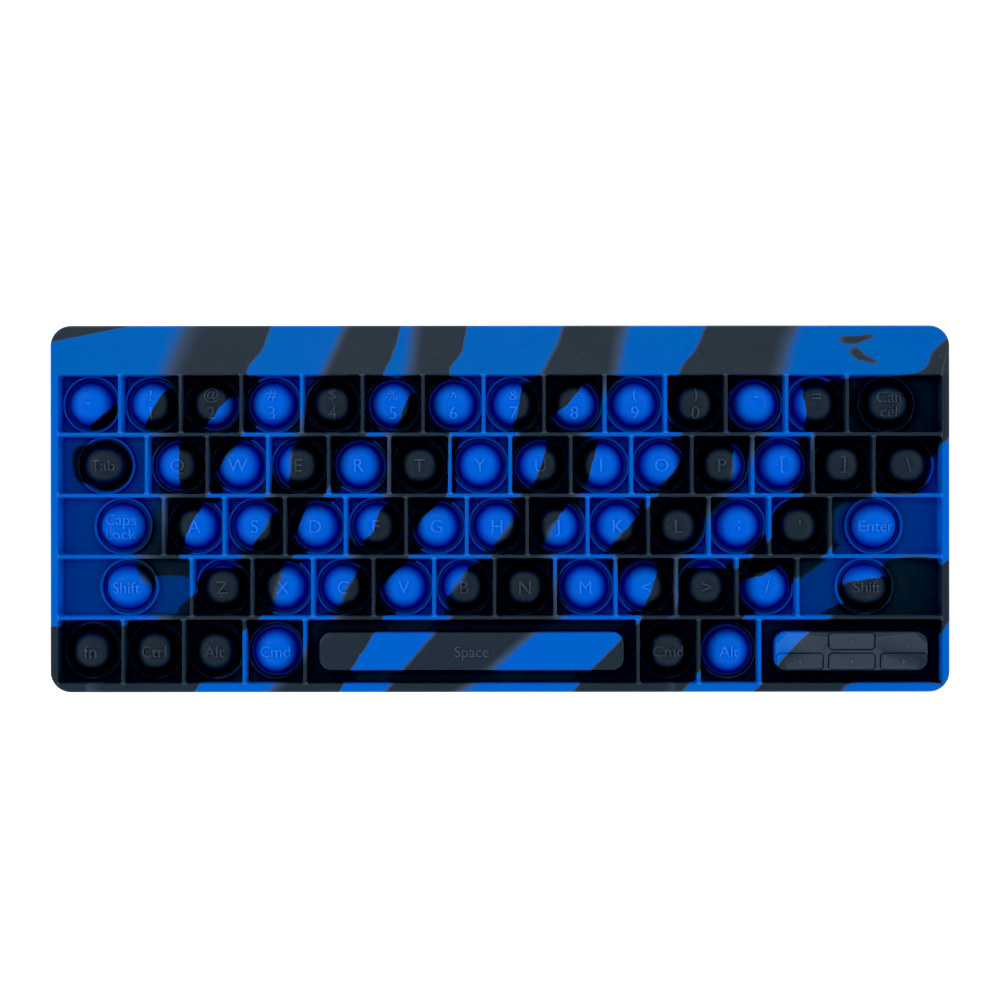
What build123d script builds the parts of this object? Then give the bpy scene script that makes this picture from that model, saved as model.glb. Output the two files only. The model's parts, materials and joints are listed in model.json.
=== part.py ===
from build123d import *

import os
from math import acos, atan, degrees

# A silicone push-bubble toy laid out like a compact keyboard: one tray of ribs and pockets,
# with a rubber bubble in every pocket that pops through its hole when it is pressed.
# X runs along the long side, +Y points to the plain band behind the number row, +Z is up.
# The origin is in the middle of the underside, on the plane the toy rests on. Lengths are in mm.

# ---- Plan of the tray ----
KEY_PITCH = 20.6  # from one bubble to the next along a row
ROW_PITCH = 20.8  # from one row to the next, rows 1 to 4
LAST_ROW = 22.9  # the row of the space bar is a little deeper
ROW_LENGTH = 14.64  # every row, in key pitches
BAND = 16.2  # from the back edge to the line where row 1 starts
SIDE_EDGE = 2.1  # from the side edge to the line where a row starts
FRONT_EDGE = 2.4  # from the front edge to the line where the last row ends
CORNER_R = 7.0  # outer corners, seen from above

# ---- Heights ----
SHEET_UNDER = 7.2  # underside of the sheet that carries the bubbles
SHEET = 1.6  # thickness of that sheet
RIB_HEIGHT = 7.6  # ribs stand this high above the sheet

# ---- Ribs and pockets ----
RIB_TOP = 1.2  # width of a rib at its top
RIB_FOOT = 1.55  # width of a rib where it meets the sheet
POCKET_R = 0.7  # upright corners of a pocket, at the sheet
RIB_ROUND = 0.42  # rounding of the pocket rims
TOP_ROUND = 1.0  # rounding of the outer top edge
FOOT_ROUND = 0.6  # rounding of the outer bottom edge

# ---- Underside ----
SIDE_WALL = 2.6
FRONT_WALL = 2.9
ROOF = 1.8  # skin over the hollow band, space bar and arrow pad
HOLLOW_R = 4.6

# ---- Bubbles ----
BUBBLE_R = 7.75  # outside of the dome at its foot
BUBBLE_RISE = 6.8  # how far the dome stands above the sheet
BUBBLE_WALL = 0.8
CREST_R = 0.5  # small flat at the very top of the dome
HINGE_R = 8.6  # outer edge of the thin hinge round the dome
HINGE_WALL = 0.5
HINGE_DROP = 0.5  # top of the hinge below the top of the sheet
HOLE_GAP = 0.2  # between the hinge and its hole
RING_IN_R = 9.1  # raised ring round every bubble
RING_OUT_R = 10.2
RING_HEIGHT = 1.7
RING_SINK = 0.3  # how deep the ring is rooted in the sheet

# ---- Fixed raised keys ----
SPACE_SIZE = (104.4, 13.6)
ARROWS_SIZE = (52.8, 14.0)
RAISED_R = 4.4  # corners of both, seen from above
RAISED_DROP = 0.2  # their tops lie this far below the rib tops
RAISED_DRAFT = 3.0  # lean of their sides, in degrees
RAISED_ROUND = 0.9
RAISED_WALL = 1.7
ARROW_KEY = (16.2, 6.1)  # the four engraved key outlines on the arrow pad
ARROW_KEY_R = 1.6
ARROW_STEP = (17.6, 6.9)  # between neighbouring outlines, across and front to back
ARROW_GROOVE = 0.4  # width of the engraved line
ARROW_DEPTH = 0.35

# ---- Key names and widths, row by row from the back. Widths are in key pitches. ----
SPACE_BAR = "space_bar"
ARROW_PAD = "arrow_pad"
ROWS = [
    [("lead_dash", 1.05)] + [(k, 1) for k in "1234567890"]
    + [("dash", 1), ("equals", 1), ("cancel", 1.59)],
    [("tab", 1.49)] + [(k, 1) for k in "qwertyuiop"]
    + [("bracket_open", 1), ("bracket_close", 1), ("backslash", 1.15)],
    [("caps_lock", 1.77)] + [(k, 1) for k in "asdfghjkl"]
    + [("semicolon", 1), ("quote", 1), ("enter", 1.87)],
    [("shift_left", 2.23)] + [(k, 1) for k in "zxcvbnm"]
    + [("comma", 1), ("period", 1), ("slash", 1), ("shift_right", 2.41)],
    [("fn", 1.10), ("ctrl", 1), ("alt_left", 1), ("cmd_left", 1), (SPACE_BAR, 5.50)]
    + [("cmd_right", 1), ("alt_right", 1), (ARROW_PAD, 3.04)],
]

# In the wide pockets the bubble stands a little off the middle.
OFF_MIDDLE = {
    "cancel": -2.0,
    "tab": 0.3,
    "caps_lock": 3.4,
    "enter": -3.4,
    "shift_left": 0.7,
    "shift_right": -1.0,
}

# ---- Values that follow from the ones above ----
WIDTH = ROW_LENGTH * KEY_PITCH + 2 * SIDE_EDGE
DEPTH = BAND + 4 * ROW_PITCH + LAST_ROW + FRONT_EDGE
SHEET_TOP = SHEET_UNDER + SHEET
TOP = SHEET_TOP + RIB_HEIGHT
RAISED_TOP = TOP - RAISED_DROP
HOLE_R = HINGE_R + HOLE_GAP
HINGE_TOP = SHEET_TOP - HINGE_DROP
HALF_LEAN = (RIB_FOOT - RIB_TOP) / 2
OVERCUT = 2.0  # cutting bodies run past the surface they open


def cells():
    """Every pocket: its key name, the middle of the pocket, its size between rib middles."""
    back = DEPTH / 2 - BAND
    found = []
    for row in ROWS:
        deep = LAST_ROW if row is ROWS[-1] else ROW_PITCH
        left = -WIDTH / 2 + SIDE_EDGE
        for key, pitches in row:
            wide = pitches * KEY_PITCH
            found.append((key, left + wide / 2, back - deep / 2, wide, deep))
            left += wide
        back -= deep
    return found


def bubble_places():
    """The key name and the middle of every bubble."""
    return [
        (key, x + OFF_MIDDLE.get(key, 0), y)
        for key, x, y, wide, deep in cells()
        if key not in (SPACE_BAR, ARROW_PAD)
    ]


def block(size, radius, bottom, top, lean=0):
    """A block with rounded upright corners. A positive lean, in degrees, narrows it upwards."""
    outline = Pos(0, 0, bottom) * RectangleRounded(size[0], size[1], radius)
    return extrude(outline, top - bottom, taper=lean)


def pocket(wide, deep):
    """The space between the ribs of one cell: narrower at the sheet than at the rib tops."""
    size = (wide - RIB_FOOT, deep - RIB_FOOT)
    height = RIB_HEIGHT + OVERCUT
    lean = -degrees(atan(HALF_LEAN / RIB_HEIGHT))
    return block(size, POCKET_R, SHEET_TOP, SHEET_TOP + height, lean)


def outer_block():
    """The tray before anything is cut out of it."""
    tray = block((WIDTH, DEPTH), CORNER_R, 0, TOP)
    tray = fillet(tray.faces().sort_by(Axis.Z)[-1].edges(), TOP_ROUND)
    return fillet(tray.faces().sort_by(Axis.Z)[0].edges(), FOOT_ROUND)


def underside_hollows():
    """The space under the sheet, and the deeper one inside the band."""
    inner_wide = WIDTH - 2 * SIDE_WALL
    inner_deep = DEPTH - SIDE_WALL - FRONT_WALL
    shift = (FRONT_WALL - SIDE_WALL) / 2
    low = Pos(0, shift, 0) * block((inner_wide, inner_deep), HOLLOW_R, -OVERCUT, SHEET_UNDER)
    band_deep = BAND + RIB_TOP / 2 - SIDE_WALL - RIB_FOOT
    band_y = DEPTH / 2 - SIDE_WALL - band_deep / 2
    band = Pos(0, band_y, 0) * block((inner_wide, band_deep), HOLLOW_R, -OVERCUT, TOP - ROOF)
    return [low, band]


def bubble_ring():
    """The raised ring round one bubble, with a rounded crest."""
    middle = (RING_IN_R + RING_OUT_R) / 2
    half = (RING_OUT_R - RING_IN_R) / 2
    foot = SHEET_TOP - RING_SINK
    shoulder = SHEET_TOP + RING_HEIGHT - half
    with BuildSketch(Plane.XZ) as profile:
        with BuildLine():
            Line((middle - half, foot), (middle + half, foot))
            Line((middle + half, foot), (middle + half, shoulder))
            ThreePointArc(
                (middle + half, shoulder), (middle, shoulder + half), (middle - half, shoulder)
            )
            Line((middle - half, shoulder), (middle - half, foot))
        make_face()
    return revolve(profile.sketch, Axis.Z)


def raised_key(size):
    """A fixed raised key, before it is hollowed: leaning sides and a rounded top edge."""
    key = block(size, RAISED_R, SHEET_TOP - SHEET / 2, RAISED_TOP, RAISED_DRAFT)
    return fillet(key.faces().sort_by(Axis.Z)[-1].edges(), RAISED_ROUND)


def raised_hollow(size):
    """The hollow inside a raised key, open at the underside."""
    inner = (size[0] - 2 * RAISED_WALL, size[1] - 2 * RAISED_WALL)
    return block(inner, RAISED_R - RAISED_WALL, SHEET_UNDER - OVERCUT, RAISED_TOP - ROOF, RAISED_DRAFT)


def arrow_outlines():
    """The engraved outlines of the four arrow keys, as cutting bodies."""
    across, along = ARROW_STEP
    places = [(0, along / 2), (-across, -along / 2), (0, -along / 2), (across, -along / 2)]
    inner_size = (ARROW_KEY[0] - 2 * ARROW_GROOVE, ARROW_KEY[1] - 2 * ARROW_GROOVE)
    bottom = RAISED_TOP - ARROW_DEPTH
    outside = block(ARROW_KEY, ARROW_KEY_R, bottom, RAISED_TOP + OVERCUT)
    inside = block(inner_size, ARROW_KEY_R - ARROW_GROOVE, bottom, RAISED_TOP + OVERCUT)
    outline = outside - inside
    return [Pos(x, y, 0) * outline for x, y in places]


def tray():
    """The ribbed tray with its pockets, rings, holes and the two fixed raised keys."""
    made = outer_block()
    pockets = {}
    for key, x, y, wide, deep in cells():
        if (wide, deep) not in pockets:
            pockets[wide, deep] = pocket(wide, deep)
    made -= [Pos(x, y, 0) * pockets[wide, deep] for key, x, y, wide, deep in cells()]
    rims = [e for rim in made.faces().sort_by(Axis.Z)[-1].inner_wires() for e in rim.edges()]
    made = fillet(rims, RIB_ROUND)
    made -= underside_hollows()

    middles = {key: (x, y) for key, x, y, wide, deep in cells()}
    space = Pos(*middles[SPACE_BAR], 0)
    arrows = Pos(*middles[ARROW_PAD], 0)
    ring = bubble_ring()
    rings = [Pos(x, y, 0) * ring for key, x, y in bubble_places()]
    made += rings + [space * raised_key(SPACE_SIZE), arrows * raised_key(ARROWS_SIZE)]

    hole = Pos(0, 0, SHEET_UNDER - OVERCUT) * extrude(Circle(HOLE_R), SHEET + 2 * OVERCUT)
    holes = [Pos(x, y, 0) * hole for key, x, y in bubble_places()]
    hollows = [space * raised_hollow(SPACE_SIZE), arrows * raised_hollow(ARROWS_SIZE)]
    grooves = [arrows * outline for outline in arrow_outlines()]
    made -= holes + hollows + grooves
    return made


def dome_arc(radius, rise):
    """A quarter of an ellipse in the XZ plane, from its foot up to the small flat at its top."""
    turn = degrees(acos(CREST_R / radius))
    return EllipticalCenterArc((0, HINGE_TOP), radius, rise, start_angle=0, arc_size=turn)


def bubble():
    """One bubble, round the Z axis: a domed shell with its thin hinge, open underneath."""
    rise = SHEET_TOP + BUBBLE_RISE - HINGE_TOP
    inner_r = BUBBLE_R - BUBBLE_WALL
    under = HINGE_TOP - HINGE_WALL
    with BuildSketch(Plane.XZ) as profile:
        with BuildLine():
            outer = dome_arc(BUBBLE_R, rise)
            inner = dome_arc(inner_r, rise - BUBBLE_WALL)
            outer_top = (0, (outer @ 1).Y)
            inner_top = (0, (inner @ 1).Y)
            Line(outer @ 1, outer_top)
            Line(outer_top, inner_top)
            Line(inner_top, inner @ 1)
            Line((inner_r, HINGE_TOP), (inner_r, under))
            Line((inner_r, under), (HINGE_R, under))
            Line((HINGE_R, under), (HINGE_R, HINGE_TOP))
            Line((HINGE_R, HINGE_TOP), (BUBBLE_R, HINGE_TOP))
        make_face()
    return revolve(profile.sketch, Axis.Z)


os.makedirs("parts", exist_ok=True)
export_step(tray(), "parts/tray.step")
one_bubble = bubble()
for key, x, y in bubble_places():
    export_step(Pos(x, y, 0) * one_bubble, f"parts/bubble_{key}.step")
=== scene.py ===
import json
import math

import bmesh
import bpy
import numpy as np
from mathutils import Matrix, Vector


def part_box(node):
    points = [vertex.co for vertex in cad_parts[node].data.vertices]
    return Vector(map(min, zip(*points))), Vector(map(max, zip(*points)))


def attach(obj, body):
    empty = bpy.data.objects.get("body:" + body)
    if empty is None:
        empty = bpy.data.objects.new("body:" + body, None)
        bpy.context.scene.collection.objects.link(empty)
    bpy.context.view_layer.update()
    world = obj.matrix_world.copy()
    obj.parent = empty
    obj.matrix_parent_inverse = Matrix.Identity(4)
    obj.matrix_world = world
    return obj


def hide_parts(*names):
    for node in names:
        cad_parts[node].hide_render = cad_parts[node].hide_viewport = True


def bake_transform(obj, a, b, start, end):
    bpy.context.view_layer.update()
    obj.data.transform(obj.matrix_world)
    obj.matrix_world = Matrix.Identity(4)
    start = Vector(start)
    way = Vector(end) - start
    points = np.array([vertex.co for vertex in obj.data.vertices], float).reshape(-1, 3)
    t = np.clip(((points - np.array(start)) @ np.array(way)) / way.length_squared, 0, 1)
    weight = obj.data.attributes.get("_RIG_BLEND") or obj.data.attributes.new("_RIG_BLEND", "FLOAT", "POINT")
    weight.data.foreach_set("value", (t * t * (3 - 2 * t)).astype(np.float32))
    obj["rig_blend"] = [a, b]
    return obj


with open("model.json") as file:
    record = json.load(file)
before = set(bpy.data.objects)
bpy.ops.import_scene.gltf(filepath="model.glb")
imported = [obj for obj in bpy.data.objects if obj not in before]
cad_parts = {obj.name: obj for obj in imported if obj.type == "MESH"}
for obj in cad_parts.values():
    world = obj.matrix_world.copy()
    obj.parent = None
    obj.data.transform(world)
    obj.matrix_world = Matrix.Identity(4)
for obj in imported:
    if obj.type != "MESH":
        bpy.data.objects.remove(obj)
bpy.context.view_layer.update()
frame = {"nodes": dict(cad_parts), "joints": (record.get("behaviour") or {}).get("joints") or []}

# Looks of the push-bubble keyboard toy. Units are metres in the CAD frame; the tables below are in
# millimetres and MM turns them into metres.
MM = 0.001
TRAY = "tray"
TRAY_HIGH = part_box(TRAY)[1]
TOP = TRAY_HIGH.z

# ---- Shape of a bubble, measured from the top of its hinge ----
DOME_R = 7.75
DOME_RISE = 7.3
DOME_WALL = 0.8
HINGE_WALL = 0.5
HINGE_REACH = 9.0  # the hinge runs a little into the sheet, so that no gap shows
FOOT_ROUND = 0.35
FOOT_RISE = 0.06  # the small curve at the foot of the dome passes this height
FOOT_TOP = 0.3  # and ends at this one
FOOT_TURN = 0.09  # angle on the dome, in radians, where the curve at its foot ends
AROUND = 72  # facets round a dome
UP = 22  # rings from foot to crown
SHARP_EDGE = 38  # edges that turn by more than this, in degrees, stay sharp

# ---- Raised legends ----
LEGEND_HEIGHT = 0.34  # how far the strokes stand above the dome
LEGEND_ROOT = 0.2  # how far they reach into it
LEGEND_CUT = 0.45  # the letters are cut on a grid this fine, so that they can follow the dome
LETTER = 6.2
DIGIT = 6.0
SYMBOL = 5.2
WORD = 5.3
SPACE_WORD = 5.2
PAIR_Y = 2.9  # symbol above and digit below the middle
CAPITAL_MIDDLE = 0.36  # height of the middle of a capital letter, as a share of the letter size

LEGENDS = {
    "lead_dash": [("-", LETTER, 0.2)],
    "1": [("!", SYMBOL, PAIR_Y), ("1", DIGIT, -PAIR_Y)],
    "2": [("@", SYMBOL, PAIR_Y), ("2", DIGIT, -PAIR_Y)],
    "3": [("#", SYMBOL, PAIR_Y), ("3", DIGIT, -PAIR_Y)],
    "4": [("$", SYMBOL, PAIR_Y), ("4", DIGIT, -PAIR_Y)],
    "5": [("%", SYMBOL, PAIR_Y), ("5", DIGIT, -PAIR_Y)],
    "6": [("^", SYMBOL, PAIR_Y), ("6", DIGIT, -PAIR_Y)],
    "7": [("&", SYMBOL, PAIR_Y), ("7", DIGIT, -PAIR_Y)],
    "8": [("*", SYMBOL, PAIR_Y), ("8", DIGIT, -PAIR_Y)],
    "9": [("(", SYMBOL, PAIR_Y), ("9", DIGIT, -PAIR_Y)],
    "0": [(")", SYMBOL, PAIR_Y), ("0", DIGIT, -PAIR_Y)],
    "dash": [("-", LETTER, 2.2)],
    "equals": [("=", LETTER, 2.4)],
    "cancel": [("Can", WORD, 2.3), ("cel", WORD, -2.5)],
    "tab": [("Tab", WORD, 0)],
    "bracket_open": [("[", LETTER, 0)],
    "bracket_close": [("]", LETTER, 0)],
    "backslash": [("\\", LETTER, 0)],
    "caps_lock": [("Caps", WORD, 2.3), ("Lock", WORD, -2.5)],
    "semicolon": [(";", LETTER, 0)],
    "quote": [("'", LETTER, 1.0)],
    "enter": [("Enter", WORD, 0)],
    "shift_left": [("Shift", WORD, 0)],
    "comma": [("<", LETTER, 0)],
    "period": [(">", LETTER, 0)],
    "slash": [("/", LETTER, 0)],
    "shift_right": [("Shift", WORD, 0)],
    "fn": [("fn", LETTER, 0)],
    "ctrl": [("Ctrl", WORD, 0)],
    "alt_left": [("Alt", WORD, 0)],
    "alt_right": [("Alt", WORD, 0)],
    "cmd_left": [("Cmd", WORD, 0)],
    "cmd_right": [("Cmd", WORD, 0)],
}

# ---- Two-tone silicone of each bubble ----
# A bubble is all blue, all black, or split: (direction of the black side in degrees, how far the
# border lies from the middle towards that side in mm).
BLUE = (0, 30)
BLACK = (0, -30)
BUBBLE_PAINT = {
    "lead_dash": (-45, 5.5),
    "1": (-32, 1.6),
    "2": (135, -3.0),
    "3": BLUE,
    "4": BLACK,
    "5": (-25, 4.2),
    "6": BLUE,
    "7": (-12, 1.6),
    "8": (135, 2.0),
    "9": BLUE,
    "0": BLACK,
    "dash": BLUE,
    "equals": (5, -3.5),
    "cancel": BLACK,
    "tab": BLACK,
    "q": (0, 0.3),
    "w": (140, 5.2),
    "e": (-10, -2.6),
    "r": BLUE,
    "t": BLACK,
    "y": BLUE,
    "u": (-20, -0.4),
    "i": (165, 3.0),
    "o": (-35, 4.5),
    "p": (180, -4.0),
    "bracket_open": BLUE,
    "bracket_close": BLACK,
    "backslash": BLACK,
    "caps_lock": BLUE,
    "a": (155, 1.2),
    "s": (-30, 2.8),
    "d": (160, 6.0),
    "f": (-30, -0.6),
    "g": (140, 5.0),
    "h": (-35, 3.6),
    "j": (150, 1.0),
    "k": (-45, 3.0),
    "l": BLACK,
    "semicolon": BLUE,
    "quote": BLACK,
    "enter": BLUE,
    "shift_left": (35, 6.0),
    "z": (-90, -6.0),
    "x": (165, 2.0),
    "c": (-30, 1.5),
    "v": (135, 5.5),
    "b": (-40, -2.5),
    "n": BLACK,
    "m": BLUE,
    "comma": (-15, 2.0),
    "period": (-90, -6.0),
    "slash": (110, 4.5),
    "shift_right": (-80, -2.5),
    "fn": BLACK,
    "ctrl": BLACK,
    "alt_left": BLACK,
    "cmd_left": BLUE,
    "cmd_right": BLACK,
    "alt_right": BLUE,
}

# ---- Stripes of the tray ----
# Heights across the toy at which the borders of each blue stripe are given, back to front.
LANES = [62, 54, 46, 44, 26, 5, -16, -37, -42, -61]
# (left border at each lane, right border at each lane, softness left, softness right)
STRIPES = [
    ([-127, -168, -170, -170, -170, -170, -170, -170, -140, -140],
     [-105, -109, -112, -112, -115, -113, -120, -114, -141, -141], 0.6, 7.0),
    ([-78, -81, -86, -86, -88, -99, -109, -101, -101, -101],
     [-52, -56, -60, -61, -68, -78, -86, -102, -102, -102], 0.5, 3.0),
    ([-34, -36, -39, -40, -45, -60, -70, -82, -88, -103],
     [-29, -30, -31, -32, -38, -39, -50, -55, -60, -77], 0.5, 4.0),
    ([-11, -13, -17, -17, -17, -18, -31, -40, -43, -55],
     [22, 18, 14, 13, 6, 8, -3, -17, -22, -38], 0.4, 1.2),
    ([42, 40, 38, 37, 28, 26, 16, 20, 12, -12],
     [70, 66, 61, 61, 62, 54, 39, 48, 43, 26], 4.0, 0.8),
    ([100, 97, 95, 94, 89, 76, 62, 60, 60, 60],
     [158, 148, 142, 116, 107, 103, 86, 59, 59, 59], 5.0, 0.8),
    ([156, 156, 156, 156, 154, 127, 110, 83, 79, 63],
     [155, 155, 155, 155, 153, 155, 154, 112, 105, 87], 1.0, 0.6),
]
# Spots that break the stripes: middle x and y, half length and width, lean in degrees, 1 for a
# blue spot or 0 for a black one, and how soft its border is.
SPOTS = [
    # four dark feathers in the band
    (119.2, 57.3, 3.0, 1.2, 0, 0, 2.5),
    (122.6, 57.9, 3.6, 0.8, 10, 0, 2.5),
    (121.4, 52.6, 2.4, 1.3, -35, 0, 2.5),
    (124.4, 50.9, 3.4, 0.8, -18, 0, 2.5),
    # the backslash and tab pockets
    (137.0, 13.5, 9.6, 8.6, 0, 0, 0.4),
    (-141.5, 15.5, 5.0, 6.5, 10, 0, 0.5),
    # the left shift pocket
    (-114.0, -29.5, 11.0, 6.4, 0, 1, 0.3),
    (-103.5, -35.0, 7.5, 5.0, 35, 0, 0.3),
    # the enter and right shift pockets
    (132.5, -6.0, 17.5, 9.2, 0, 1, 0.3),
    (141.0, -26.0, 9.8, 9.5, 0, 0, 0.3),
    # the rim at the front right corner
    (153.0, -50.0, 3.2, 11.0, 0, 1, 0.3),
    (134.5, -62.0, 17.5, 3.2, 0, 1, 0.3),
]
STRIPE_SPAN = 320.0  # the borders are stored as shares of this length, from its left end
STRIPE_LEFT = -160.0
LANE_SPAN = 130.0
LANE_FRONT = -65.0

BAND_EDGE = 45.6  # where the plain band ends
POCKET_FLOOR = 0.0086  # height of the pocket floors, in metres
POCKET_MARGIN = 3.5  # the blue stripes are narrower by this much each side on the pocket floors
POCKETS_X = 151.2  # how far the pockets reach to either side
POCKETS_FRONT = -60.4  # and to the front
POCKETS_FADE = 0.8
LAST_ROW_BACK = -38.5  # the pocket floors in front of this are nearly black
LAST_ROW_DARK = 0.85  # the share of blue they lose
SPOT_POWER = 3.0  # 2 makes a spot an ellipse; more makes it squarer
STRIPE_WAVE = 4.0  # how far the borders of the stripes wander, in mm
STRIPE_FRAY = 1.6  # and how far they fray
BORDER_WAVE = 4.0  # how far the border on a bubble wanders, in mm
BORDER_SHARP = 0.15  # half width of that border where it is sharp
BORDER_BLUR = 1.5  # added to it where it is blurred

# ---- Colours, linear ----
BLUE_SILICONE = ((0.001, 0.124, 0.79, 1), (0.001, 0.119, 0.41, 1))  # two blues that drift
BLACK_BAND = (0.026, 0.037, 0.051, 1)
BLACK_TRAY = (0.019, 0.030, 0.044, 1)
BLACK_BUBBLE = (0.016, 0.025, 0.037, 1)
BLEND_SILICONE = (0.045, 0.075, 0.135, 1)  # where blue and black run into each other
GREENER_TRAY = 0.2  # how far the blue leans to the second, greener one
GREENER_BAND = 0.3  # and how much further on the plain band
GREENER_BUBBLE = -0.1

# ---- Finish of the silicone, with painted highlights and painted shade. Noise scales are per metre. ----
CLOUDS = 55.0
CLOUD_DRIFT = 0.6  # how much the clouds move the blue
TONE_LOW = 0.88
TONE_SPAN = 0.24
# Painted highlight: sharp edges, such as the rib tops and the rims round the bubbles, are lightened in the
# colour.
EDGE_HIGHLIGHT_FROM = 0.505  # edges sharper than this get a painted highlight
EDGE_HIGHLIGHT_TO = 0.57
EDGE_HIGHLIGHT_SHARE = 0.8
PAINTED_EDGE_HIGHLIGHT = (0.03, 0.04, 0.05, 1)
# Painted highlight on the raised legends, added to their colour.
LEGEND_HIGHLIGHT_ON_BLACK = (0.012, 0.016, 0.021, 1)
LEGEND_HIGHLIGHT_ON_BLUE = (0.008, 0.065, 0.14, 1)
DUST_GRAIN = 900.0
DUST_SHARE = 0.06
DUST = (0.5, 0.52, 0.55, 1)
# Painted shade: cavities are darkened in the colour, by ambient occlusion.
PAINTED_CAVITY_SHADE_REACH = 0.007  # reach of the painted cavity shade, in metres
PAINTED_CAVITY_SHADE_SHARE = 0.5
PAINTED_CAVITY_SHADE_ON_BLACK = (0.65, 0.65, 0.7, 1)
PAINTED_CAVITY_SHADE_ON_BLUE = (0.25, 0.35, 0.65, 1)
PAINTED_FLOOR_SHADE_FROM = 0.0003  # the painted shade on the pocket floors fades out between these heights above them, in metres
PAINTED_FLOOR_SHADE_TO = 0.0012
PAINTED_FLOOR_SHADE_ON_BLACK = (1.0, 1.0, 1.0, 1)
PAINTED_FLOOR_SHADE_ON_BLUE = (0.4, 0.62, 0.62, 1)
SMEARS = 120.0
ROUGH_LOW = 0.42
ROUGH_SPAN = 0.22
SPECULAR = 0.22
SHEEN = 0.02
GRAIN = 2600.0
GRAIN_SHARE = 0.25
RIPPLE = 260.0
BUMP_STRENGTH = 0.25
BUMP_DEPTH = 0.00012


# ---------------------------------------------------------------- shader helpers
class Nodes:
    """Adds nodes to a material and joins them."""

    def __init__(self, name, owner=None):
        self.material = owner or bpy.data.materials.new(name)
        self.material.use_nodes = True
        self.tree = self.material.node_tree
        self.tree.nodes.clear()

    def add(self, kind, **settings):
        node = self.tree.nodes.new(kind)
        for key, value in settings.items():
            setattr(node, key, value)
        return node

    def plug(self, value, socket):
        if isinstance(value, (int, float, tuple)):
            socket.default_value = value
        else:
            self.tree.links.new(value, socket)

    def math(self, operation, a, b=0.0, clamp=False):
        node = self.add("ShaderNodeMath", operation=operation, use_clamp=clamp)
        self.plug(a, node.inputs[0])
        self.plug(b, node.inputs[1])
        return node.outputs[0]

    def step(self, value, start, end):
        """0 below start, 1 above end, smooth between."""
        node = self.add("ShaderNodeMapRange", interpolation_type="SMOOTHSTEP")
        self.plug(value, node.inputs["Value"])
        self.plug(start, node.inputs["From Min"])
        self.plug(end, node.inputs["From Max"])
        return node.outputs["Result"]

    def noise(self, vector, scale, detail=2.0, roughness=0.5, seed=0.0):
        node = self.add("ShaderNodeTexNoise", noise_dimensions="4D")
        self.plug(vector, node.inputs["Vector"])
        self.plug(scale, node.inputs["Scale"])
        self.plug(detail, node.inputs["Detail"])
        self.plug(roughness, node.inputs["Roughness"])
        self.plug(seed, node.inputs["W"])
        return node.outputs["Fac"]

    def mix(self, share, a, b, blend="MIX"):
        node = self.add("ShaderNodeMix", data_type="RGBA", blend_type=blend)
        self.plug(share, node.inputs["Factor"])
        self.plug(a, node.inputs[6])
        self.plug(b, node.inputs[7])
        return node.outputs[2]

    def curve(self, value, points):
        """A curve through points given as (place, value), both from 0 to 1."""
        node = self.add("ShaderNodeFloatCurve")
        line = node.mapping.curves[0]
        points = sorted(points)
        line.points[0].location = points[0]
        line.points[1].location = points[-1]
        for place in points[1:-1]:
            line.points.new(*place)
        for point in line.points:
            point.handle_type = "AUTO_CLAMPED"
        node.mapping.update()
        self.plug(value, node.inputs["Value"])
        return node.outputs[0]


def silicone_colour(n, place, shade, greener, black, seed):
    """Blue that drifts, black, and a dull mix where they meet."""
    clouds = n.noise(place, CLOUDS, 3.0, 0.55, seed)
    drift = n.math("ADD", greener, n.math("MULTIPLY", clouds, CLOUD_DRIFT), True)
    blue = n.mix(drift, *BLUE_SILICONE)
    lower = n.mix(n.math("MULTIPLY", shade, 2.0, True), black, BLEND_SILICONE)
    upper = n.math("SUBTRACT", n.math("MULTIPLY", shade, 2.0), 1.0, True)
    tone = n.add("ShaderNodeHueSaturation")
    value = n.math("ADD", TONE_LOW, n.math("MULTIPLY", clouds, TONE_SPAN))
    n.plug(value, tone.inputs["Value"])
    n.plug(n.mix(upper, lower, blue), tone.inputs["Color"])
    return tone.outputs[0]


def highlights_and_dust(n, place, shade, colour, pointed, seed):
    """Painted highlights on sharp edges and on the legends, and a little dust."""
    # painted highlight on sharp edges
    highlit_edges = n.step(pointed, EDGE_HIGHLIGHT_FROM, EDGE_HIGHLIGHT_TO)
    edge_highlighted = n.mix(1.0, colour, PAINTED_EDGE_HIGHLIGHT, "ADD")
    highlighted = n.mix(n.math("MULTIPLY", highlit_edges, EDGE_HIGHLIGHT_SHARE), colour, edge_highlighted)
    # painted highlight on the raised legends
    raised = n.add("ShaderNodeAttribute", attribute_name="legend").outputs["Fac"]
    legend_highlight = n.mix(shade, LEGEND_HIGHLIGHT_ON_BLACK, LEGEND_HIGHLIGHT_ON_BLUE)
    highlighted = n.mix(raised, highlighted, n.mix(1.0, highlighted, legend_highlight, "ADD"))
    dust = n.step(n.noise(place, DUST_GRAIN, 1.0, 0.5, seed + 3.0), 0.70, 0.80)
    return n.mix(n.math("MULTIPLY", dust, DUST_SHARE), highlighted, DUST)


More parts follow.
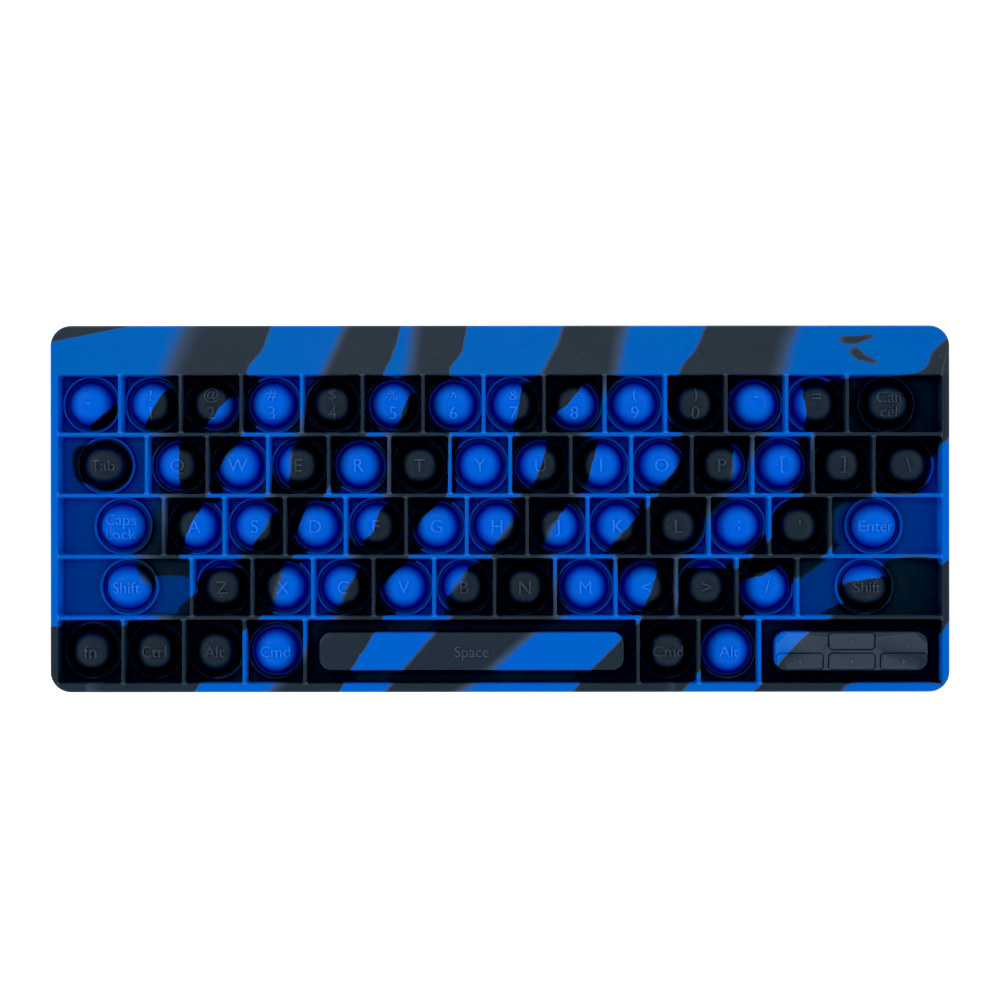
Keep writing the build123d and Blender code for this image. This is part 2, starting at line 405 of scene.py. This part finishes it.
def paint_pocket_shade(n, place, shade, colour, normal, pockets):
    """Painted shade: darkens cavities by ambient occlusion, and the floors of the pockets where they face
    up.
    """
    # painted shade in the cavities
    cavity = n.add("ShaderNodeAmbientOcclusion", samples=4)
    cavity.inputs["Distance"].default_value = PAINTED_CAVITY_SHADE_REACH
    painted_cavity_shade = n.math("SUBTRACT", 1.0, n.step(cavity.outputs["AO"], 0.1, 0.9))
    shadow = n.mix(shade, PAINTED_CAVITY_SHADE_ON_BLACK, PAINTED_CAVITY_SHADE_ON_BLUE)
    shadowed = n.mix(1.0, colour, shadow, "MULTIPLY")
    colour = n.mix(n.math("MULTIPLY", painted_cavity_shade, PAINTED_CAVITY_SHADE_SHARE), colour, shadowed)
    # painted shade on the pocket floors that face up
    at = n.add("ShaderNodeSeparateXYZ")
    n.plug(place, at.inputs[0])
    facing = n.add("ShaderNodeSeparateXYZ")
    n.plug(normal, facing.inputs[0])
    fade = n.step(at.outputs[2], POCKET_FLOOR + PAINTED_FLOOR_SHADE_FROM, POCKET_FLOOR + PAINTED_FLOOR_SHADE_TO)
    painted_floor_shade = n.math("SUBTRACT", 1.0, fade)
    painted_floor_shade = n.math("MULTIPLY", painted_floor_shade, n.step(facing.outputs[2], -0.2, 0.0))
    painted_floor_shade = n.math("MULTIPLY", painted_floor_shade, pockets)
    floor_shade_tint = n.mix(shade, PAINTED_FLOOR_SHADE_ON_BLACK, PAINTED_FLOOR_SHADE_ON_BLUE)
    return n.mix(painted_floor_shade, colour, n.mix(1.0, colour, floor_shade_tint, "MULTIPLY"))


def silicone_finish_and_painted_light(n, place, shade, greener, black, pockets, seed):
    """Finishes a silicone material, with painted highlights and painted shade in its colour: shade is 1
    where it is blue and 0 where it is black.
    """
    geometry = n.add("ShaderNodeNewGeometry")
    colour = silicone_colour(n, place, shade, greener, black, seed)
    # painted highlights on edges and legends, and a little dust
    colour = highlights_and_dust(n, place, shade, colour, geometry.outputs["Pointiness"], seed)
    # painted shade in the cavities and on the pocket floors
    colour = paint_pocket_shade(n, place, shade, colour, geometry.outputs["Normal"], pockets)
    surface = n.add("ShaderNodeBsdfPrincipled")
    n.plug(colour, surface.inputs["Base Color"])
    smear = n.noise(place, SMEARS, 4.0, 0.6, seed + 7.0)
    rough = n.math("ADD", ROUGH_LOW, n.math("MULTIPLY", smear, ROUGH_SPAN))
    n.plug(rough, surface.inputs["Roughness"])
    surface.inputs["Specular IOR Level"].default_value = SPECULAR
    surface.inputs["Sheen Weight"].default_value = SHEEN
    surface.inputs["Sheen Roughness"].default_value = 0.5
    grain = n.noise(place, GRAIN, 2.0, 0.6, seed + 11.0)
    ripple = n.noise(place, RIPPLE, 2.0, 0.5, seed + 13.0)
    bump = n.add("ShaderNodeBump")
    bump.inputs["Strength"].default_value = BUMP_STRENGTH
    bump.inputs["Distance"].default_value = BUMP_DEPTH
    height = n.math("ADD", n.math("MULTIPLY", grain, GRAIN_SHARE), ripple)
    n.plug(height, bump.inputs["Height"])
    n.plug(bump.outputs[0], surface.inputs["Normal"])
    end = n.add("ShaderNodeOutputMaterial")
    n.plug(surface.outputs[0], end.inputs[0])
    return n.material


def in_share(value, start, span):
    return (value - start) / span


def border_line(n, along, lane_values):
    """A wavy border through one value per lane, as a distance across the toy in mm."""
    points = [
        (in_share(lane, LANE_FRONT, LANE_SPAN), in_share(at, STRIPE_LEFT, STRIPE_SPAN))
        for lane, at in zip(LANES, lane_values)
    ]
    share = n.curve(along, points)
    return n.math("ADD", n.math("MULTIPLY", share, STRIPE_SPAN), STRIPE_LEFT)


def over_pockets(n, x, y):
    """1 over the pockets, 0 on the plain band and on the outer sides."""
    past_side = n.step(n.math("ABSOLUTE", x), POCKETS_X, POCKETS_X + POCKETS_FADE)
    pockets = n.math("SUBTRACT", 1.0, past_side)
    behind_front = n.step(y, POCKETS_FRONT - POCKETS_FADE, POCKETS_FRONT)
    pockets = n.math("MULTIPLY", pockets, behind_front)
    past_band = n.step(y, BAND_EDGE + 0.7, BAND_EDGE + 1.4)
    return n.math("MULTIPLY", pockets, n.math("SUBTRACT", 1.0, past_band))


def outside_spot(n, x, y, middle_x, middle_y, half_length, half_width, lean, soft):
    """0 inside a rounded spot, 1 outside it."""
    a = math.cos(math.radians(lean))
    b = math.sin(math.radians(lean))
    dx = n.math("SUBTRACT", x, middle_x)
    dy = n.math("SUBTRACT", y, middle_y)
    along_it = n.math("ADD", n.math("MULTIPLY", dx, a), n.math("MULTIPLY", dy, b))
    off_it = n.math("SUBTRACT", n.math("MULTIPLY", dy, a), n.math("MULTIPLY", dx, b))
    along_it = n.math("ABSOLUTE", n.math("DIVIDE", along_it, half_length))
    off_it = n.math("ABSOLUTE", n.math("DIVIDE", off_it, half_width))
    along_it = n.math("POWER", along_it, SPOT_POWER)
    off_it = n.math("POWER", off_it, SPOT_POWER)
    return n.step(n.math("ADD", along_it, off_it), 1.0 - soft * 0.6, 1.0 + soft)


def tray_material():
    """Marbled silicone: slanting blue stripes on black, with wavy borders, sharp or soft."""
    n = Nodes("marbled_silicone")
    place = n.add("ShaderNodeTexCoord").outputs["Object"]
    split = n.add("ShaderNodeSeparateXYZ")
    n.plug(place, split.inputs[0])
    flat_x = n.math("DIVIDE", split.outputs[0], MM)
    y = n.math("DIVIDE", split.outputs[1], MM)
    wave = n.math("SUBTRACT", n.noise(place, 45.0, 1.0, 0.5, 2.0), 0.5)
    fine = n.math("SUBTRACT", n.noise(place, 260.0, 3.0, 0.6, 5.0), 0.5)
    x = n.math("ADD", flat_x, n.math("MULTIPLY", wave, STRIPE_WAVE))
    x = n.math("ADD", x, n.math("MULTIPLY", fine, STRIPE_FRAY))
    along = n.math("DIVIDE", n.math("SUBTRACT", y, LANE_FRONT), LANE_SPAN)
    pockets = over_pockets(n, flat_x, y)
    high = n.step(split.outputs[2], POCKET_FLOOR + 0.001, TOP - 0.003)
    deep = n.math("MULTIPLY", n.math("SUBTRACT", 1.0, high), pockets)
    margin = n.math("MULTIPLY", deep, POCKET_MARGIN)
    shade = 0.0
    for left, right, soft_left, soft_right in STRIPES:
        left_border = border_line(n, along, left)
        right_border = border_line(n, along, right)
        inside_left = n.math("SUBTRACT", n.math("SUBTRACT", x, left_border), margin)
        inside_right = n.math("SUBTRACT", n.math("SUBTRACT", right_border, x), margin)
        enter = n.step(inside_left, -soft_left, soft_left)
        leave = n.step(inside_right, -soft_right, soft_right)
        shade = n.math("MAXIMUM", shade, n.math("MULTIPLY", enter, leave))
    for middle_x, middle_y, half_length, half_width, lean, is_blue, soft in SPOTS:
        outside = outside_spot(n, x, y, middle_x, middle_y, half_length, half_width, lean, soft)
        if is_blue:
            shade = n.math("MAXIMUM", shade, n.math("SUBTRACT", 1.0, outside))
        else:
            shade = n.math("MULTIPLY", shade, outside)
    behind_row = n.step(y, LAST_ROW_BACK - 0.5, LAST_ROW_BACK + 0.5)
    front_row = n.math("SUBTRACT", 1.0, behind_row)
    dark = n.math("MULTIPLY", n.math("MULTIPLY", front_row, deep), LAST_ROW_DARK)
    shade = n.math("MULTIPLY", shade, n.math("SUBTRACT", 1.0, dark))
    on_band = n.step(y, BAND_EDGE - 1.0, BAND_EDGE + 1.0)
    black = n.mix(on_band, BLACK_TRAY, BLACK_BAND)
    greener = n.math("ADD", n.math("MULTIPLY", on_band, GREENER_BAND), GREENER_TRAY)
    return silicone_finish_and_painted_light(n, place, shade, greener, black, pockets, 1.0)


def dome_material():
    """The same silicone on the bubbles: each carries the distance to its own colour border."""
    n = Nodes("bubble_silicone")
    place = n.add("ShaderNodeTexCoord").outputs["Object"]
    border = n.add("ShaderNodeAttribute", attribute_name="border_mm").outputs["Fac"]
    wave = n.math("SUBTRACT", n.noise(place, 110.0, 2.0, 0.5, 4.0), 0.5)
    blurred = n.step(n.noise(place, 60.0, 0.0), 0.5, 0.7)
    soft = n.math("ADD", BORDER_SHARP, n.math("MULTIPLY", blurred, BORDER_BLUR))
    moved = n.math("ADD", border, n.math("MULTIPLY", wave, BORDER_WAVE))
    shade = n.step(moved, n.math("MULTIPLY", soft, -1.0), soft)
    return silicone_finish_and_painted_light(n, place, shade, GREENER_BUBBLE, BLACK_BUBBLE, 1.0, 21.0)


# ---------------------------------------------------------------- bubbles
def dome_height(r):
    """Height of the outside of the dome at distance r from its middle."""
    return DOME_RISE * np.sqrt(np.clip(1 - (r / DOME_R) ** 2, 0, 1))


def dome_profile():
    """The outline of the shell, from the underside of the crown round the hinge to the crown."""
    inner_r = DOME_R - DOME_WALL
    inner_rise = DOME_RISE - DOME_WALL
    turns = [math.pi / 2 * i / UP for i in range(1, UP + 1)]
    line = [(inner_r * math.sin(t), inner_rise * math.cos(t)) for t in turns]
    line += [(inner_r, -HINGE_WALL), (DOME_R, -HINGE_WALL), (HINGE_REACH, -HINGE_WALL)]
    line += [(HINGE_REACH, 0), (DOME_R + FOOT_ROUND, 0)]
    line += [(DOME_R + FOOT_ROUND * 0.4, FOOT_RISE), (DOME_R + 0.02, FOOT_TOP)]
    turns = [FOOT_TURN + (math.pi / 2 - FOOT_TURN) * i / UP for i in range(UP)]
    line += [(DOME_R * math.cos(t), DOME_RISE * math.sin(t)) for t in turns]
    return line


def add_shell(bm):
    """Turns the profile round the Z axis into one closed shell."""
    rings = []
    for r, z in dome_profile():
        ring = []
        for i in range(AROUND):
            a = 2 * math.pi * i / AROUND
            ring.append(bm.verts.new((r * math.cos(a), r * math.sin(a), z)))
        rings.append(ring)
    for low, high in zip(rings, rings[1:]):
        for i in range(AROUND):
            j = (i + 1) % AROUND
            bm.faces.new((low[i], low[j], high[j], high[i]))
    under = bm.verts.new((0, 0, DOME_RISE - DOME_WALL))
    crown = bm.verts.new((0, 0, DOME_RISE))
    for i in range(AROUND):
        j = (i + 1) % AROUND
        bm.faces.new((under, rings[0][j], rings[0][i]))
        bm.faces.new((crown, rings[-1][i], rings[-1][j]))


def cut_on_grid(bm, step):
    """Cuts a flat mesh along lines step apart both ways, so that it can be bent."""
    for axis in (0, 1):
        ends = [v.co[axis] for v in bm.verts]
        normal = Vector((1, 0, 0)) if axis == 0 else Vector((0, 1, 0))
        at = math.ceil(min(ends) / step) * step
        while at < max(ends):
            everything = bm.verts[:] + bm.edges[:] + bm.faces[:]
            bmesh.ops.bisect_plane(
                bm, geom=everything, plane_co=normal * at, plane_no=normal, dist=1e-5
            )
            at += step


def letters(text, size, middle_y, step):
    """A word as a thin slab round z 0, in mm, with its middle at (0, middle_y)."""
    curve = bpy.data.curves.new("word", "FONT")
    curve.body = text
    curve.size = size
    curve.align_x = "CENTER"
    curve.resolution_u = 4
    curve.extrude = 0.5
    shown = bpy.data.objects.new("word", curve)
    bpy.context.scene.collection.objects.link(shown)
    bpy.context.view_layer.update()
    mesh = bpy.data.meshes.new_from_object(
        shown.evaluated_get(bpy.context.evaluated_depsgraph_get())
    )
    bpy.data.objects.remove(shown)
    bm = bmesh.new()
    bm.from_mesh(mesh)
    bpy.data.meshes.remove(mesh)
    bmesh.ops.remove_doubles(bm, verts=bm.verts, dist=1e-4)
    xs = [v.co.x for v in bm.verts]
    ys = [v.co.y for v in bm.verts]
    rise = CAPITAL_MIDDLE * size if text[0].isalnum() else (min(ys) + max(ys)) / 2
    shift = Vector((-(min(xs) + max(xs)) / 2, middle_y - rise, 0))
    bmesh.ops.translate(bm, verts=bm.verts, vec=shift)
    if step:
        cut_on_grid(bm, step)
    return bm


def add_legend(bm, key):
    """Wraps the legend of a key onto the dome."""
    for text, size, middle_y in LEGENDS.get(key, [(key.upper(), LETTER, 0)]):
        word = letters(text, size, middle_y, LEGEND_CUT)
        for v in word.verts:
            surface = float(dome_height(math.hypot(v.co.x, v.co.y)))
            v.co.z = surface + (LEGEND_HEIGHT if v.co.z > 0 else -LEGEND_ROOT)
        mesh = bpy.data.meshes.new("word")
        word.to_mesh(mesh)
        word.free()
        bm.from_mesh(mesh)
        bpy.data.meshes.remove(mesh)


def make_dome(key, material):
    """One bubble with its legend, in place, turning inside out when its joint moves."""
    node = "bubble_" + key
    low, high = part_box(node)
    middle = Vector(((low.x + high.x) / 2, (low.y + high.y) / 2, low.z + HINGE_WALL * MM))
    bm = bmesh.new()
    add_shell(bm)
    shell_size = len(bm.verts)
    add_legend(bm, key)
    bmesh.ops.recalc_face_normals(bm, faces=bm.faces)
    mesh = bpy.data.meshes.new("dome_" + key)
    bm.to_mesh(mesh)
    bm.free()
    at = np.array([v.co for v in mesh.vertices])
    angle, border = BUBBLE_PAINT[key]
    side = at[:, 0] * math.cos(math.radians(angle)) + at[:, 1] * math.sin(math.radians(angle))
    paint = mesh.attributes.new("border_mm", "FLOAT", "POINT")
    paint.data.foreach_set("value", (border - side).astype(np.float32))
    follow = dome_height(np.hypot(at[:, 0], at[:, 1])) / DOME_RISE
    mesh.vertices.foreach_set("co", (at * MM + np.array(middle)).ravel())
    mark = mesh.attributes.new("legend", "FLOAT", "POINT")
    mark.data.foreach_set("value", (np.arange(len(at)) >= shell_size).astype(np.float32))
    mesh.materials.append(material)
    dome = bpy.data.objects.new("dome_" + key, mesh)
    bpy.context.scene.collection.objects.link(dome)
    mesh.shade_smooth()
    mesh.set_sharp_from_angle(angle=math.radians(SHARP_EDGE))
    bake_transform(dome, TRAY, node, middle, middle + Vector((0, 0, DOME_RISE * MM)))
    mesh.attributes["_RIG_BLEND"].data.foreach_set("value", follow.astype(np.float32))
    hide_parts(node)
    return dome


# ---------------------------------------------------------------- fixed details
RAISED_DROP = 0.2  # the tops of the space bar and the arrow pad lie this far below the ribs
FLAT_LEGEND = 0.22  # how far the marks on them stand up
SIDE_EDGE = 2.1  # width of the tray's rim beside the last key
ARROW_STEP = (17.6, 6.9)  # between neighbouring arrow keys, across and front to back
ARROW_SIZE = 1.0  # from the middle of an arrow to its corners
RAISED_TOP = TOP / MM - RAISED_DROP


def middle_of(key):
    """The middle of a bubble in plan, in mm."""
    low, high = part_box("bubble_" + key)
    return (low.x + high.x) / 2 / MM, (low.y + high.y) / 2 / MM


def space_middle():
    """The middle of the space bar, between the two keys beside it."""
    return (middle_of("cmd_left")[0] + middle_of("cmd_right")[0]) / 2, middle_of("cmd_left")[1]


def arrow_middle():
    """The middle of the arrow pad, between the last key and the rim of the tray."""
    pitch = middle_of("2")[0] - middle_of("1")[0]
    left = middle_of("alt_right")[0] + pitch / 2
    right = TRAY_HIGH.x / MM - SIDE_EDGE
    return (left + right) / 2, middle_of("alt_right")[1]


def flat_piece(name, bm, material):
    """A fixed piece that rides on the tray."""
    mesh = bpy.data.meshes.new(name)
    bm.to_mesh(mesh)
    bm.free()
    mark = mesh.attributes.new("legend", "FLOAT", "POINT")
    mark.data.foreach_set("value", np.ones(len(mesh.vertices), np.float32))
    mesh.materials.append(material)
    made = bpy.data.objects.new(name, mesh)
    bpy.context.scene.collection.objects.link(made)
    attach(made, TRAY)
    return made


def space_legend(material):
    """The word on the space bar, as flat raised strokes."""
    middle_x, middle_y = space_middle()
    bm = letters("Space", SPACE_WORD, 0, 0)
    for v in bm.verts:
        v.co.z = RAISED_TOP + (FLAT_LEGEND if v.co.z > 0 else -LEGEND_ROOT)
        v.co.x = (v.co.x + middle_x) * MM
        v.co.y = (v.co.y + middle_y) * MM
        v.co.z *= MM
    return flat_piece("legend_space", bm, material)


def add_arrow(bm, x, y, turn):
    """A small upright triangle with its middle at (x, y), in mm."""
    rings = []
    for z in (RAISED_TOP - LEGEND_ROOT, RAISED_TOP + FLAT_LEGEND):
        ring = []
        for corner in (0, 120, 240):
            a = math.radians(turn + corner)
            corner_x = x + ARROW_SIZE * math.cos(a)
            corner_y = y + ARROW_SIZE * math.sin(a)
            ring.append(bm.verts.new((corner_x * MM, corner_y * MM, z * MM)))
        rings.append(ring)
    low, high = rings
    bm.faces.new(low[::-1])
    bm.faces.new(high)
    for i in range(3):
        j = (i + 1) % 3
        bm.faces.new((low[i], low[j], high[j], high[i]))


def arrow_legends(material):
    """Four small triangles, one on each arrow key."""
    middle_x, middle_y = arrow_middle()
    across, along = ARROW_STEP[0], ARROW_STEP[1] / 2
    marks = [(0, along, 90), (-across, -along, 180), (0, -along, 270), (across, -along, 0)]
    bm = bmesh.new()
    for x, y, turn in marks:
        add_arrow(bm, middle_x + x, middle_y + y, turn)
    return flat_piece("legend_arrows", bm, material)


# ---------------------------------------------------------------- the object
silicone = tray_material()
bubble_silicone = dome_material()
tray = frame["nodes"][TRAY]
tray.data.materials.clear()
tray.data.materials.append(silicone)
for joint in frame["joints"]:
    make_dome(joint["child"].replace("bubble_", "", 1), bubble_silicone)
space_legend(silicone)
arrow_legends(silicone)

# ---------------------------------------------------------------- stage, light and camera
FLOOR_HALF = 3.0
PAPER = (0.93, 0.93, 0.93, 1)
PAPER_GLOW = 0.75
SKY_BASE = 0.18
SKY_RING = 2.6  # the light comes from a low ring all round, and the zenith is dark
RING_FROM = (0.12, 0.25)  # sines of the heights between which the ring brightens
RING_TO = (0.45, 0.75)  # and fades again
CAMERA_DISTANCE = 0.575  # from the rib tops
FRAME_WIDTH = 0.3396  # what the picture spans at the rib tops
FRAME_SHIFT = 0.0088
SENSOR = 36
ROLL = -0.04  # degrees
BLACK_LEVEL = (0.0155, 0.0145, 0.0135)


def white_floor():
    """A plain white floor that glows a little, so that it stays white beside the toy."""
    h = FLOOR_HALF
    mesh = bpy.data.meshes.new("floor")
    mesh.from_pydata([(-h, -h, 0), (h, -h, 0), (h, h, 0), (-h, h, 0)], [], [(0, 1, 2, 3)])
    floor = bpy.data.objects.new("floor", mesh)
    bpy.context.scene.collection.objects.link(floor)
    n = Nodes("floor_white")
    paper = n.add("ShaderNodeBsdfPrincipled")
    paper.inputs["Base Color"].default_value = PAPER
    paper.inputs["Roughness"].default_value = 0.9
    paper.inputs["Emission Color"].default_value = (1, 1, 1, 1)
    paper.inputs["Emission Strength"].default_value = PAPER_GLOW
    end = n.add("ShaderNodeOutputMaterial")
    n.plug(paper.outputs[0], end.inputs[0])
    mesh.materials.append(n.material)


def studio_world():
    """Soft light from a low ring all round; the backdrop itself is plain white."""
    world = bpy.data.worlds.new("studio")
    bpy.context.scene.world = world
    n = Nodes("studio", world)
    direction = n.add("ShaderNodeTexCoord").outputs["Generated"]
    parts = n.add("ShaderNodeSeparateXYZ")
    n.plug(direction, parts.inputs[0])
    brighten = n.step(parts.outputs[2], *RING_FROM)
    fade = n.math("SUBTRACT", 1.0, n.step(parts.outputs[2], *RING_TO))
    ring = n.math("MULTIPLY", brighten, fade)
    lit = n.math("ADD", SKY_BASE, n.math("MULTIPLY", ring, SKY_RING))
    seen = n.add("ShaderNodeLightPath").outputs["Is Camera Ray"]
    unseen = n.math("MULTIPLY", lit, n.math("SUBTRACT", 1.0, seen))
    background = n.add("ShaderNodeBackground")
    n.plug(n.math("ADD", unseen, seen), background.inputs[1])
    end = n.add("ShaderNodeOutputWorld")
    n.plug(background.outputs[0], end.inputs[0])


def soft_light(name, place, size, watts):
    """A square soft light that looks at the middle of the toy."""
    light = bpy.data.lights.new(name, "AREA")
    light.size = size
    light.energy = watts
    made = bpy.data.objects.new(name, light)
    made.location = place
    made.rotation_mode = "QUATERNION"
    made.rotation_quaternion = (-Vector(place)).to_track_quat("-Z", "Y")
    bpy.context.scene.collection.objects.link(made)


def camera_above():
    """A camera straight above the toy."""
    data = bpy.data.cameras.new("camera")
    data.sensor_width = SENSOR
    data.lens = SENSOR * CAMERA_DISTANCE / FRAME_WIDTH
    data.shift_y = FRAME_SHIFT
    camera = bpy.data.objects.new("camera", data)
    camera.location = (0, 0, TOP + CAMERA_DISTANCE)
    camera.rotation_euler = (0, 0, math.radians(ROLL))
    bpy.context.scene.collection.objects.link(camera)
    bpy.context.scene.camera = camera


white_floor()
studio_world()
soft_light("overhead", (-0.10, 0.15, 1.3), 0.5, 3)
camera_above()
look = bpy.context.scene.view_settings
look.view_transform = "Standard"
look.use_curve_mapping = True
look.curve_mapping.black_level = BLACK_LEVEL
look.curve_mapping.update()
